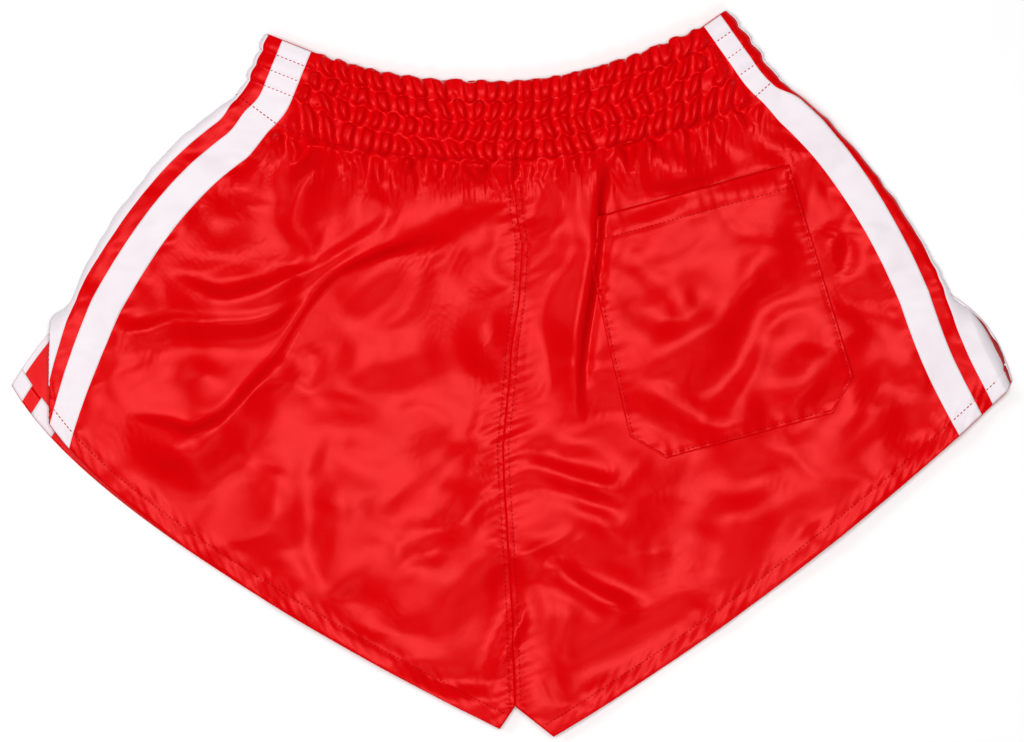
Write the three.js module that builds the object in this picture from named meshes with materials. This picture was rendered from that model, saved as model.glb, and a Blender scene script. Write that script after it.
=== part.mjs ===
// Boxing shorts lying flat, back side up. Millimetres, +X across the waist, +Y towards the waist, +Z up.
// The origin is under the middle of the shorts, on the surface that they lie on.
//
// Each leg half is one satin panel. Its top is turned in as the casing of four elastics and its foot is
// turned in as the hem. The back panel rolls round the side of the shorts to the side seam, which lies
// underneath, and lies open and flat at the slit below it. Tapes are sewn on the outside of the satin.
import * as THREE from "three";

// Plies, each a real piece of cloth, and the air between two of them.
const cloth = 0.6;
const tape = 0.5;
const elastic = 1.2;
const thread = 0.3;
const threadWidth = 0.7;
const ply = 0.3;
const seamGap = 0.4;

// The hollow that the wearer's body goes into, between the turned-in plies.
const waistGap = 5.4;
const legGap = 5.0;

// Waist casing: four channels, one elastic in each.
const channels = 4;
const channelPitch = 13;
const elasticWidth = 9.5;
const waistMiddleY = 192;
const bandHeight = channels * channelPitch;

// Trim at the side seam: edge tape, bare satin, then the wide stripe.
const edgeTapeWidth = 13;
const bareWidth = 10;
const stripeWidth = 20.5;
const hemWidth = 12;

// Slit at the foot of each side seam, and how far its back edge takes to lie flat.
const slitLength = 76;
const slitOpening = 38;

// How the trim lies on each side. gather squeezes it together in the waistband. Each shift carries the
// side seam round the fold, towards the front if it is positive: in the waistband, and in the flare, from
// where it fades out to the slit. The seam with no shift lies straight under the start of the roll.
const trimLay = {
  left: { gather: 1, bandShift: 0, flareShift: -5, fade: 4 },
  right: { gather: 0.65, bandShift: -2.5, flareShift: 11, fade: 1.2 },
};

// Half the width at the foot of the sides, and how far below the origin the legs end.
const footX = 320;
const tipY = -237.5;

// Landmarks of one half as it lies, from the centre seam outwards. The shorts lie a little askew, so each
// has a lean that is added on the left and taken off on the right.
const landmarks = {
  waistCorner: { at: [152, 232], lean: [10, -8] },
  bandCorner: { at: [175.5, 190], lean: [2.5, -6] },
  sideBow: { at: [footX - 49, 131.5], lean: [7, -3.5] },
  sideFoot: { at: [footX - 0.5, -26], lean: [-2.5, -4] },
  hemCorner: { at: [footX + 1.5, -13], lean: [-5.5, -1] },
  hemBowOuter: { at: [footX - 55, tipY + 147.5], lean: [20, 0] },
  hemBowInner: { at: [117.5, tipY + 53.5], lean: [-7.5, 1] },
  legTip: { at: [18, tipY], lean: [-8, 2.5] },
  frontCorner: { at: [footX + 11, -6.5], lean: [0, -1.5] },
};
const crotchY = tipY + 17.5;
const waistDip = { power: 2.1, lean: 0.5 };

// Patch pocket on the right back panel.
const pocketMouth = 144;
const pocketFoot = 154;
const pocketDepth = 166;
const pocketBevel = 20;
const pocketTilt = THREE.MathUtils.degToRad(15.2);
const pocketMouthMiddle = [113.5, 118.6];

// Rows of stitching on the back: in from the hem's turned edge, either side of the centre seam, in from
// the pocket's edge, how far the lowest waist row stays above the foot of the casing, and how far from
// the side seam the waist rows end, which is the outermost line of the roll.
const hemStitchInset = 1.5;
const centreStitchInset = 3.5;
const pocketStitchInset = 2;
const casingStitchInset = 1;
const waistStitchEnd = 9;

// Heights. The outer middle surface of a panel is half a ply inside its outer face.
const casingDepth = cloth + 2 * ply + elastic;
const hemDepth = cloth + ply;
const tapeLift = (cloth + tape) / 2 + ply;
const stitchLift = (cloth + thread) / 2 + ply;
const tapeStitchLift = tapeLift + (tape + thread) / 2 + ply;
const frontZ = tapeLift + tape / 2;
const waistZ = frontZ + 2 * casingDepth + cloth + waistGap;
const hemZ = frontZ + 2 * hemDepth + cloth + legGap;

// Fineness of the faceting.
const innerColumns = 7;
const rollSteps = 6;
const stripeSteps = 4;
const flareRowCount = 5;
const openingRowCount = 6;
const slitFootRowCount = 2;
const turnSteps = 4;

// Distances in from the side seam at which columns run down the panels and the trim.
const rollStart = (Math.PI * (waistZ - frontZ)) / 2 + seamGap;
const edgeTapeColumns = Array.from({ length: rollSteps + 1 }, (_, i) =>
  Math.max(seamGap / 2, edgeTapeWidth * (1 - i / rollSteps)),
);
const edgeColumns = { back: edgeTapeColumns, front: edgeTapeColumns.filter((_, i) => i % 2 === 0) };
const stripeEdge = edgeTapeWidth + bareWidth;
const stripeColumns = Array.from({ length: stripeSteps + 1 }, (_, i) =>
  stripeEdge + stripeWidth * (1 - i / stripeSteps),
);

const innerEdge = stripeEdge + stripeWidth + 2;
const satinRed = new THREE.MeshStandardMaterial({ color: 0xd80a14, roughness: 0.42, metalness: 0 });
const threadRed = new THREE.MeshStandardMaterial({ color: 0xc40a12, roughness: 0.6, metalness: 0 });
const tapeWhite = new THREE.MeshStandardMaterial({ color: 0xf3edf1, roughness: 0.55, metalness: 0 });
const elasticWhite = new THREE.MeshStandardMaterial({ color: 0xe9e6df, roughness: 0.85, metalness: 0 });

const lerp = (a, b, t) => a + (b - a) * t;
const mix = (p, q, t) => [lerp(p[0], q[0], t), lerp(p[1], q[1], t)];
const along = (p, direction, distance) => [p[0] + direction[0] * distance, p[1] + direction[1] * distance];
const smooth = (t) => THREE.MathUtils.smoothstep(t, 0, 1);
const unit = (v) => [v[0] / Math.hypot(...v), v[1] / Math.hypot(...v)];
const outwards = (above, below) => unit([above[1] - below[1], below[0] - above[0]]);

function bezier(points, t) {
  if (points.length === 1) return points[0];
  return bezier(
    points.slice(1).map((p, i) => mix(points[i], p, t)),
    t,
  );
}

// The shapes of one side of the shorts, in its own outward coordinates.
function layOut(sign) {
  const at = (name) => along(landmarks[name].at, landmarks[name].lean, -sign);
  const waistCorner = at("waistCorner");
  const bandCorner = at("bandCorner");
  const side = [bandCorner, at("sideBow"), at("sideFoot")];
  const tip = at("legTip");
  const hem = {
    back: [tip, at("hemBowInner"), at("hemBowOuter"), at("hemCorner")],
    front: [tip, at("hemBowInner"), at("hemBowOuter"), at("frontCorner")],
  };
  const dip = waistDip.power - waistDip.lean * sign;
  const trim = sign < 0 ? trimLay.left : trimLay.right;
  return { sign, waistCorner, bandCorner, side, tip, hem, dip, trim };
}

// A panel's outer middle surface falls from the waist to the hem, as the layers settle.
const fallFrom = waistMiddleY - bandHeight;
function backHeight(y) {
  const fall = THREE.MathUtils.clamp((fallFrom - y) / (fallFrom - landmarks.legTip.at[1]), 0, 1);
  return lerp(waistZ, hemZ, fall);
}

// v runs 0 to 1 down the waist casing and 1 to 2 from there to the hem.
// The side fold: the outermost line of the shorts as they lie.
function fold(half, v) {
  return v <= 1 ? mix(half.waistCorner, half.bandCorner, v) : bezier(half.side, v - 1);
}

// Outward normal of the fold, mitred where the casing meets the flare.
function foldNormal(half, v) {
  const casing = outwards(half.waistCorner, half.bandCorner);
  if (v < 1) return casing;
  const step = 0.01;
  const low = Math.max(1, v - step);
  const high = Math.min(2, v + step);
  const flare = outwards(fold(half, low), fold(half, high));
  if (v > 1) return flare;
  const middle = unit([casing[0] + flare[0], casing[1] + flare[1]]);
  const stretch = 1 / (middle[0] * flare[0] + middle[1] * flare[1]);
  return [middle[0] * stretch, middle[1] * stretch];
}

function sideLength(half) {
  const steps = 24;
  let length = 0;
  for (let i = 0; i < steps; i++) {
    const p = fold(half, 1 + i / steps);
    const q = fold(half, 1 + (i + 1) / steps);
    length += Math.hypot(q[0] - p[0], q[1] - p[1]);
  }
  return length;
}

// How far the slit has opened at v: 0 where the side is closed, 1 at the hem.
const slitShare = (half, v, distance) =>
  THREE.MathUtils.clamp(((v - 2) * sideLength(half) + slitLength) / distance, 0, 1);

// Half the height between the back and front layers, which is the radius of the roll at the side.
const rollRadius = (y) => (backHeight(y) - frontZ) / 2;

// Where the flat of the back layer ends and its roll begins. The side seam lies straight under it.
function rollLine(half, v) {
  const edge = fold(half, v);
  return along(edge, foldNormal(half, v), -rollRadius(edge[1]));
}

// A place's distance round the fold from straight under the start of the roll, outwards and up. It is
// given by its distance in from the side seam, along the back layer or the front one.
const trimSettles = 0.15;
function roundFold(half, layer, distance, v) {
  const { gather, bandShift, flareShift, fade } = half.trim;
  const down = THREE.MathUtils.clamp((v - 1) / (slitTop - 1), 0, 1);
  const settled = smooth(down / trimSettles);
  const shift = lerp(bandShift, flareShift * (1 - Math.pow(down, fade)), settled);
  const squeeze = lerp(gather, 1, settled);
  return (layer === "back" ? distance : -distance) * squeeze - shift;
}

// The free edge of the front layer, which splays out at the slit.
function frontEdge(half, v) {
  const seam = rollLine(half, v);
  const corner = half.hem.front[3];
  const foot = rollLine(half, 2);
  const splay = smooth(slitShare(half, v, slitLength));
  return [seam[0] + splay * (corner[0] - foot[0]), seam[1] + splay * (corner[1] - foot[1])];
}

// The point of a hem curve that is a distance from its outer corner.
function hemPoint(curve, distance) {
  const steps = 60;
  let left = distance;
  for (let i = steps; i > 0; i--) {
    const p = bezier(curve, i / steps);
    const q = bezier(curve, (i - 1) / steps);
    const length = Math.hypot(q[0] - p[0], q[1] - p[1]);
    if (length >= left) return mix(p, q, left / length);
    left -= length;
  }
  return curve[0];
}

// A line down the layer at a distance in from the unshifted side seam or the slit edge, in the flat.
// Below the slit it is drawn over to where that distance falls on the hem.
function stripLine(half, layer, distance, v) {
  const root = layer === "back" ? rollLine(half, v) : frontEdge(half, v);
  const edge = fold(half, v);
  const rolled = layer === "back" ? Math.PI * rollRadius(edge[1]) : 0;
  const plain = along(root, foldNormal(half, v), rolled - distance);
  if (v <= 1) return plain;
  const end = hemPoint(half.hem[layer], distance);
  const foot = layer === "back" ? rollLine(half, 2) : frontEdge(half, 2);
  const footEdge = fold(half, 2);
  const footRolled = layer === "back" ? Math.PI * rollRadius(footEdge[1]) : 0;
  const miss = along(foot, foldNormal(half, 2), footRolled - distance);
  const pull = smooth(slitShare(half, v, slitLength));
  return [plain[0] + pull * (end[0] - miss[0]), plain[1] + pull * (end[1] - miss[1])];
}

// Where the trim ends and the rest of the panel begins.
function innerLine(half, layer, v) {
  return stripLine(half, layer, Math.abs(roundFold(half, layer, innerEdge, v)), v);
}

// The centre seam, and below the crotch the short inseam out to the leg's tip.
const crotchShare = 0.93;
function centreLine(half, v) {
  const inset = seamGap / 2;
  if (v <= 1) return [inset, waistMiddleY - bandHeight * v];
  const t = v - 1;
  if (t <= crotchShare) return [inset, lerp(fallFrom, crotchY, t / crotchShare)];
  return mix([inset, crotchY], half.tip, (t - crotchShare) / (1 - crotchShare));
}

// A line across one half at the waist or at the casing's foot, dipping to the middle.
function dippingLine(half, layer, u, v) {
  const inner = centreLine(half, v);
  const outer = innerLine(half, layer, v);
  return [lerp(inner[0], outer[0], u), lerp(inner[1], outer[1], Math.pow(u, half.dip))];
}

// Inside the trim the panel is a Coons patch between its four edges.
function innerPoint(half, layer, u, v) {
  if (v <= 1) return mix(dippingLine(half, layer, u, 0), dippingLine(half, layer, u, 1), v);
  const t = v - 1;
  const left = (s) => centreLine(half, 1 + s);
  const right = (s) => innerLine(half, layer, 1 + s);
  const outerEnd = hemPoint(half.hem[layer], innerEdge);
  const curve = half.hem[layer];
  const bottom = (s) => {
    const p = bezier(curve, s * hemShare(curve, outerEnd));
    return s >= 1 ? outerEnd : p;
  };
  const top = (s) => dippingLine(half, layer, s, 1);
  return [0, 1].map((k) => {
    const ruledDown = lerp(top(u)[k], bottom(u)[k], t);
    const ruledAcross = lerp(left(t)[k], right(t)[k], u);
    const corners = lerp(lerp(left(0)[k], right(0)[k], u), lerp(left(1)[k], right(1)[k], u), t);
    return ruledDown + ruledAcross - corners;
  });
}

// The hem curve's own parameter at the point of it that is nearest in x.
function hemShare(curve, point) {
  let low = 0;
  let high = 1;
  for (let i = 0; i < 30; i++) {
    const middle = (low + high) / 2;
    if (bezier(curve, middle)[0] < point[0]) low = middle;
    else high = middle;
  }
  return low;
}

// A place on a layer: its point on the outer middle surface and its outward normal.
function flatPlace(half, layer, p) {
  const z = layer === "back" ? backHeight(p[1]) : frontZ;
  return {
    point: new THREE.Vector3(half.sign * p[0], p[1], z),
    normal: new THREE.Vector3(0, 0, layer === "back" ? 1 : -1),
  };
}

// A place at a distance round the fold, on the flat of either layer or on the roll between them.
function foldPlace(half, distance, v) {
  const edge = fold(half, v);
  const radius = rollRadius(edge[1]);
  const length = Math.PI * radius;
  if (distance >= length) return flatPlace(half, "back", stripLine(half, "back", distance, v));
  if (distance <= 0) return flatPlace(half, "front", stripLine(half, "front", -distance, v));
  const opened = smooth(slitShare(half, v, slitOpening));
  const turn = Math.max(Math.PI * (1 - opened), 0.02);
  const angle = (turn * (length - distance)) / length;
  const bend = length / turn;
  const deepest = bend * (1 - Math.cos(turn));
  const settle = Math.min(1, (2 * rollRadius(edge[1])) / deepest);
  const root = stripLine(half, "back", length, v);
  const slid = stripLine(half, "back", distance, v);
  const reach = Math.hypot(slid[0] - root[0], slid[1] - root[1]);
  const flatWay = reach > 0 ? unit([slid[0] - root[0], slid[1] - root[1]]) : foldNormal(half, v);
  const way = unit(mix(foldNormal(half, v), flatWay, opened));
  const out = lerp(bend * Math.sin(angle), reach, opened);
  const p = along(root, way, out);
  const z = backHeight(root[1]) - settle * bend * (1 - Math.cos(angle));
  return {
    point: new THREE.Vector3(half.sign * p[0], p[1], z),
    normal: new THREE.Vector3(
      half.sign * way[0] * Math.sin(angle),
      way[1] * Math.sin(angle),
      Math.cos(angle),
    ),
  };
}

// Columns run down a layer. Each is a function of v that gives a place.
function strip(half, layer, distance) {
  return ruledCasing((v) => foldPlace(half, roundFold(half, layer, distance, v), v));
}

// The casing is ruled straight from its top to its foot.
function ruledCasing(column) {
  return (v) => {
    if (v >= 1) return column(v);
    const [top, foot] = [column(0), column(1)];
    return { point: top.point.lerp(foot.point, v), normal: top.normal.lerp(foot.normal, v).normalize() };
  };
}

function lifted(column, lift) {
  return (v) => {
    const { point, normal } = column(v);
    return { point: point.addScaledVector(normal, lift), normal };
  };
}

// The columns of a panel from its centre seam to a distance short of its side seam, raised by one height
// on bare satin and by another over the tapes.
function panelColumns(half, layer, bareLift = 0, tapedLift = 0, stopAt = 0) {
  const inner = range(innerColumns).map((i) =>
    ruledCasing((v) => flatPlace(half, layer, innerPoint(half, layer, i / innerColumns, v))),
  );
  const bare = (distance) => strip(half, layer, distance);
  const taped = (distance) => lifted(strip(half, layer, distance), tapedLift);
  return [
    ...[...inner, bare(innerEdge)].map((column) => lifted(column, bareLift)),
    ...stripeColumns.map(taped),
    ...(layer === "back" ? [lifted(bare(rollStart), bareLift)] : []),
    ...edgeColumns[layer].filter((distance) => distance > stopAt).map(taped),
  ];
}

function range(n) {
  return Array.from({ length: n }, (_, i) => i);
}

// Down the column at v, as a unit vector.
function downWay(column, v) {
  const step = 0.02;
  const low = v < 1 ? 0 : Math.max(1, v - step);
  const high = v < 1 ? 1 : Math.min(2, v);
  return column(high).point.clone().sub(column(low).point).normalize();
}

// Rows of a profile down a column. v is where the row is rooted, down and out are the distances from there
// along the column and along its normal, and the last two are the profile's own outward direction.
const row = (v, down, out, faceDown = 0, faceOut = 1) => ({ v, down, out, faceDown, faceOut });

// A half turn round the end of the cloth, from the outer face to the inner one.
function turnRows(v, radius, way) {
  return range(turnSteps + 1).map((i) => {
    const angle = (Math.PI * i) / turnSteps;
    const away = Math.sin(angle);
    const face = Math.cos(angle);
    return row(v, way * radius * (away - 1), radius * (face - 1), way * away, face);
  });
}

const casingTurn = casingDepth / 2;
const hemTurn = hemDepth / 2;
const flareLength = sideLength(layOut(1));
const slitTop = 2 - slitLength / flareLength;
const openingEnd = slitTop + slitOpening / flareLength;
const flareRows = [
  ...range(flareRowCount).map((i) => row(lerp(1, slitTop, (i + 1) / (flareRowCount + 1)), 0, 0)),
  ...range(openingRowCount + 1).map((i) => row(lerp(slitTop, openingEnd, i / openingRowCount), 0, 0)),
  ...range(slitFootRowCount - 1).map((i) => row(lerp(openingEnd, 2, (i + 1) / slitFootRowCount), 0, 0)),
];
const panelProfile = [
  row(1, -seamGap, -casingDepth, 0, -1),
  ...turnRows(0, casingTurn, -1).reverse(),
  row(1, 0, 0),
  ...flareRows,
  ...turnRows(2, hemTurn, 1),
  row(2, -hemWidth, -hemDepth, 0, -1),
];

// A closed solid of cloth: a thickness laid along the profile's face, over all columns.
function clothSolid(columns, profile, thickness, ring = false) {
  const points = [];
  for (const column of columns) {
    for (const r of profile) {
      const { point, normal } = column(r.v);
      const down = r.down || r.faceDown ? downWay(column, r.v) : new THREE.Vector3();
      const middle = point.clone().addScaledVector(down, r.down).addScaledVector(normal, r.out);
      const face = normal.clone().multiplyScalar(r.faceOut).addScaledVector(down, r.faceDown);
      points.push(middle.clone().addScaledVector(face, thickness / 2));
      points.push(middle.clone().addScaledVector(face, -thickness / 2));
    }
  }
  const rows = profile.length;
  const vertex = (i, j, face) => ((i % columns.length) * rows + j) * 2 + face;
  const triangles = [];
  const quad = (a, b, c, d) => triangles.push(a, b, c, a, c, d);
  for (const i of range(ring ? columns.length : columns.length - 1)) {
    for (const j of range(rows - 1)) {
      quad(vertex(i, j, 0), vertex(i, j + 1, 0), vertex(i + 1, j + 1, 0), vertex(i + 1, j, 0));
      quad(vertex(i, j, 1), vertex(i + 1, j, 1), vertex(i + 1, j + 1, 1), vertex(i, j + 1, 1));
    }
    quad(vertex(i, 0, 0), vertex(i + 1, 0, 0), vertex(i + 1, 0, 1), vertex(i, 0, 1));
    quad(vertex(i, rows - 1, 0), vertex(i, rows - 1, 1), vertex(i + 1, rows - 1, 1), vertex(i + 1, rows - 1, 0));
  }
  if (!ring) {
    for (const j of range(rows - 1)) {
      quad(vertex(0, j, 0), vertex(0, j, 1), vertex(0, j + 1, 1), vertex(0, j + 1, 0));
      const last = columns.length - 1;
      quad(vertex(last, j, 0), vertex(last, j + 1, 0), vertex(last, j + 1, 1), vertex(last, j, 1));
    }
  }
  return facingOut(points, triangles);
}

// Signed volume decides which way round the triangles go.
function facingOut(points, triangles) {
  let volume = 0;
  for (let i = 0; i < triangles.length; i += 3) {
    const [a, b, c] = [0, 1, 2].map((k) => points[triangles[i + k]]);
    volume += a.dot(b.clone().cross(c));
  }
  const index = volume < 0 ? triangles.slice().reverse() : triangles;
  const geometry = new THREE.BufferGeometry();
  geometry.setAttribute("position", new THREE.Float32BufferAttribute(points.flatMap((p) => [p.x, p.y, p.z]), 3));
  geometry.setIndex(index);
  geometry.computeVertexNormals();
  return geometry;
}

// A tape on the outside of a layer, over columns at some distances from the side seam or slit edge.
function tapeSolid(half, layer, distances) {
  const columns = distances.map((d) => strip(half, layer, d));
  const profile = [row(0, casingTurn, tapeLift), row(1, 0, tapeLift)];
  for (const r of flareRows) profile.push(row(r.v, 0, tapeLift));
  profile.push(row(2, -hemTurn, tapeLift));
  return clothSolid(columns, profile, tape);
}

// One elastic: a closed ring through the casings of all four panels.
function elasticRing(channel) {
  const [left, right] = halves;
  const columns = [
    ...panelColumns(left, "back"),
    ...panelColumns(left, "front").reverse(),
    ...panelColumns(right, "front"),
    ...panelColumns(right, "back").reverse(),
  ];
  const margin = (channelPitch - elasticWidth) / 2;
  const top = Math.max(channel * channelPitch + margin, casingTurn + ply);
  const foot = channel * channelPitch + margin + elasticWidth;
  const profile = [top, foot].map((distance) => row(distance / bandHeight, 0, -casingDepth / 2));
  return clothSolid(columns, profile, elastic, true);
}

// A row of stitching across columns that are already raised to the top of the cloth.
function stitchRow(columns, v, down) {
  const profile = [row(v, down, 0), row(v, down + threadWidth, 0)];
  return clothSolid(columns, profile, thread);
}

// The foot of one channel, stitched right across the back.
function waistStitch(channel) {
  const distance = Math.min((channel + 1) * channelPitch, bandHeight - casingStitchInset);
  const sides = halves.map((half) => panelColumns(half, "back", stitchLift, tapeStitchLift, waistStitchEnd));
  return stitchRow([...sides[0].reverse(), ...sides[1]], distance / bandHeight, 0);
}

function hemStitch(half) {
  const columns = panelColumns(half, "back", stitchLift, tapeStitchLift);
  return stitchRow(columns, 2, hemStitchInset - hemWidth);
}

// The row of topstitching down one side of the centre back seam, from the casing to the crotch.
function centreStitch(half) {
  const columns = [0, threadWidth].map((across) => (v) => {
    const [, y] = centreLine(half, v);
    return flatPlace(half, "back", [centreStitchInset + across, y]);
  });
  const end = 1 + crotchShare;
  const rows = [1, ...flareRows.map((r) => r.v).filter((v) => v < end), end];
  const profile = rows.map((v) => row(v, 0, stitchLift));
  return clothSolid(columns, profile, thread);
}

// The patch pocket's outline, some way in from its edge: down one side, round the foot and up the other.
function pocketOutline(inset) {
  const mouth = pocketMouth / 2 - inset;
  const foot = pocketFoot / 2 - inset;
  const bevel = pocketBevel - inset * (2 - Math.SQRT2);
  const depth = pocketDepth - inset;
  const outline = [
    [-mouth, 0],
    [-foot, bevel - depth],
    [bevel - foot, -depth],
    [foot - bevel, -depth],
    [foot, bevel - depth],
    [mouth, 0],
  ];
  const [cos, sin] = [Math.cos(pocketTilt), Math.sin(pocketTilt)];
  return outline.map(([x, y]) => [
    pocketMouthMiddle[0] + x * cos - y * sin,
    pocketMouthMiddle[1] + x * sin + y * cos,
  ]);
}

// One ply, bevelled at its lower corners, lying on the slope of the back panel.
const pocketLift = cloth + ply;
function pocketSolid() {
  const shape = new THREE.Shape(pocketOutline(0).map((p) => new THREE.Vector2(...p)));
  const geometry = new THREE.ExtrudeGeometry(shape, { depth: cloth, bevelEnabled: false });
  const position = geometry.getAttribute("position");
  for (const i of range(position.count)) {
    const rise = position.getZ(i) - cloth / 2 + pocketLift;
    position.setZ(i, rise + backHeight(position.getY(i)));
  }
  geometry.computeVertexNormals();
  return geometry;
}

function pocketStitch(half) {
  const outer = pocketOutline(pocketStitchInset);
  const inner = pocketOutline(pocketStitchInset + threadWidth);
  const columns = outer.map((p, i) => (v) => flatPlace(half, "back", mix(p, inner[i], v)));
  const profile = [0, 1].map((v) => row(v, 0, pocketLift + stitchLift));
  return clothSolid(columns, profile, thread);
}

function named(name, geometry, material) {
  const mesh = new THREE.Mesh(geometry, material);
  mesh.name = name;
  return mesh;
}

const halves = [layOut(-1), layOut(1)];
const shorts = new THREE.Group();
for (const half of halves) {
  const sideName = half.sign < 0 ? "left" : "right";
  for (const layer of ["back", "front"]) {
    const prefix = `${layer}_${sideName}`;
    const panel = clothSolid(panelColumns(half, layer), panelProfile, cloth);
    const stripe = tapeSolid(half, layer, stripeColumns);
    const edge = tapeSolid(half, layer, edgeColumns[layer]);
    shorts.add(named(`${prefix}_panel`, panel, satinRed));
    shorts.add(named(`${prefix}_stripe`, stripe, tapeWhite));
    shorts.add(named(`${prefix}_edge_tape`, edge, tapeWhite));
  }
  shorts.add(named(`back_${sideName}_hem_stitch`, hemStitch(half), threadRed));
  shorts.add(named(`centre_seam_stitch_${sideName}`, centreStitch(half), threadRed));
}
for (const channel of range(channels)) {
  shorts.add(named(`waist_elastic_${channel + 1}`, elasticRing(channel), elasticWhite));
  shorts.add(named(`waist_stitch_${channel + 1}`, waistStitch(channel), threadRed));
}
shorts.add(named("back_pocket", pocketSolid(), satinRed));
shorts.add(named("back_pocket_stitch", pocketStitch(halves[1]), threadRed));

// The origin goes under the middle of the whole.
const box = new THREE.Box3().setFromObject(shorts);
shorts.position.set(-(box.min.x + box.max.x) / 2, -(box.min.y + box.max.y) / 2, -box.min.z);

export default shorts;
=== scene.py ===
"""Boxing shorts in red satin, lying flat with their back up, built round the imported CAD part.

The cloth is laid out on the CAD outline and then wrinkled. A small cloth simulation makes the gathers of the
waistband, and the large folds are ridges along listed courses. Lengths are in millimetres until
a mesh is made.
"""

import math

import bpy
import numpy as np
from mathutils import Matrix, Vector


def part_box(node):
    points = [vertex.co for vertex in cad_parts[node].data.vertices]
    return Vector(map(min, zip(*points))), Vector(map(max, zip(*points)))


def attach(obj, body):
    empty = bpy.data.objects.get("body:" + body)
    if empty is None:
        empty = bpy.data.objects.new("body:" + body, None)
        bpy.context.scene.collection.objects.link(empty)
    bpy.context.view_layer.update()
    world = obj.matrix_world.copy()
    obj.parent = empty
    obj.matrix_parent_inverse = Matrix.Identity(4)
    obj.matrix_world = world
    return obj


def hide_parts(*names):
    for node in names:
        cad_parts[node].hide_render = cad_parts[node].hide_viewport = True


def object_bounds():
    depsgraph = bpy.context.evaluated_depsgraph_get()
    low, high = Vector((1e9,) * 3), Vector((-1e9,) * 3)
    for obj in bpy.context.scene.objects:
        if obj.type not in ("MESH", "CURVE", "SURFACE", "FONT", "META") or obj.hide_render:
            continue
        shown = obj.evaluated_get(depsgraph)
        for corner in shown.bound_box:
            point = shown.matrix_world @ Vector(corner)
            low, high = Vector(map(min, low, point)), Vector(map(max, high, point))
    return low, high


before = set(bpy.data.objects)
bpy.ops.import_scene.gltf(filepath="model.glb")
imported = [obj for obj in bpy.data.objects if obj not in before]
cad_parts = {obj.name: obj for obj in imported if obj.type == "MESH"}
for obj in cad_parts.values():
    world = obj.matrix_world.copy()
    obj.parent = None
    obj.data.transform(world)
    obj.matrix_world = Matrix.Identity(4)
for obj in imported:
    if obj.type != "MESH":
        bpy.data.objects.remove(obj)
CAD_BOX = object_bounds()
MM = 0.001


def cad_box(node):
    """The lowest and highest corners of a CAD node, in millimetres."""
    low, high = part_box(node)
    return np.array(low) / MM, np.array(high) / MM


# ---------------------------------------------------------------- sizes

CLOTH = 0.4
TAPE = 0.45
STITCH_RADIUS = 0.36
BAND_HEIGHT = 52.0
CHANNELS = 4
CHANNEL = BAND_HEIGHT / CHANNELS
EDGE_TAPE = 13.0
BARE = 10.0
STRIPE = 20.5
STRIPE_EDGE = EDGE_TAPE + BARE
SLIT_TURN = 4.2
INNER_EDGE = STRIPE_EDGE + STRIPE + 2.0
HEM = 12.0
SLIT = 76.0
SLIT_OPENING = 38.0
# How far below the rest the turned-under corner of the back lies.
TURN_DROP = 1.3
CASING_DEPTH = 2.4
HEM_DEPTH = 0.9
# A unit of v at the hem is taken as at least this many millimetres, which keeps the turn-in narrow in v.
LEAST_SPACING = 20.0
# The height of the lumps in the cloth under the side's tapes.
SIDE_LUMP = 0.8
SEAM_GAP = -0.3
SEAM_REACH = 42.0
# The bend of the centre seam, as (sideways, up).
SEAM_COURSE = np.array([
    (2.0, -220), (0.0, -157), (-2.6, -110), (-5.3, -71), (-6.0, -48), (-3.3, -21), (-1.3, -1),
    (0.0, 17), (4.6, 47), (6.6, 85), (3.3, 104), (0.0, 141), (0.0, 192)], float)
FRONT_PUFF = 0.33
FRONT_SUNK = 0.3
WAIST_Y = 192.0
FLARE_Y = WAIST_Y - BAND_HEIGHT
TIP_Y = -237.5
CROTCH_Y = -220.0
CROTCH_SHARE = 0.93

STITCH_PITCH = 2.9
STITCH_LENGTH = 2.1
STITCH_LIFT = CLOTH / 2 + 0.1
CENTRE_STITCH = 4.0
HEM_STITCH = 1.5
# A stitch from end to end: share of its length, share of its girth, and millimetres above its row.
STITCH_SHAPE = [
    (-0.5, 0.15, -0.28), (-0.36, 0.8, -0.05), (0.0, 1.0, 0.05), (0.36, 0.8, -0.05), (0.5, 0.15, -0.28)]
POCKET_WIDTHS = (144.0, 154.0)
POCKET_DEPTH = 166.0
POCKET_BEVEL = 20.0
POCKET_HEM = 15.0
POCKET_TILT = math.radians(15.2)
POCKET_MOUTH = (113.5, 118.6)

# Heights at the middle of each layer's outer ply, from the frame. The CAD's cloth is thicker than this one.
CAD_CLOTH = 0.6
STITCH_TO_CLOTH = 0.75
BACK_TOP = cad_box("back_right_panel")[1][2] - CAD_CLOTH / 2
BACK_FOOT = cad_box("back_right_hem_stitch")[0][2] - STITCH_TO_CLOTH
FRONT_Z = cad_box("front_right_panel")[0][2] + CAD_CLOTH / 2

# Landmarks of each half as it lies, outwards from the centre seam and up, as in the CAD outline.
LANDMARKS = {
    -1: dict(waist=(162, 224), band=(178, 184), bow=(278, 128), foot=(317, -30), tip=(10, -235),
             hem_in=(110, -183), hem_out=(285, -90), corner=(316, -14), front=(331, -8), dip=2.6,
             gather=1.0, band_shift=0.0, flare_shift=-5.0, fade=4.0, tuck=22.0, gape=0.0),
    1: dict(waist=(142, 240), band=(173, 196), bow=(264, 135), foot=(322, -22), tip=(26, -240),
            hem_in=(125, -185), hem_out=(245, -90), corner=(327, -12), front=(331, -5), dip=1.6,
            gather=0.65, band_shift=-2.5, flare_shift=11.0, fade=1.2, tuck=0.0, gape=8.0),
}

# ---------------------------------------------------------------- small helpers


def lerp(a, b, t):
    return a + (b - a) * t


def smoothstep(t):
    t = np.clip(t, 0.0, 1.0)
    return t * t * (3.0 - 2.0 * t)


def unit(v):
    return v / np.maximum(np.linalg.norm(v, axis=-1, keepdims=True), 1e-9)


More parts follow.
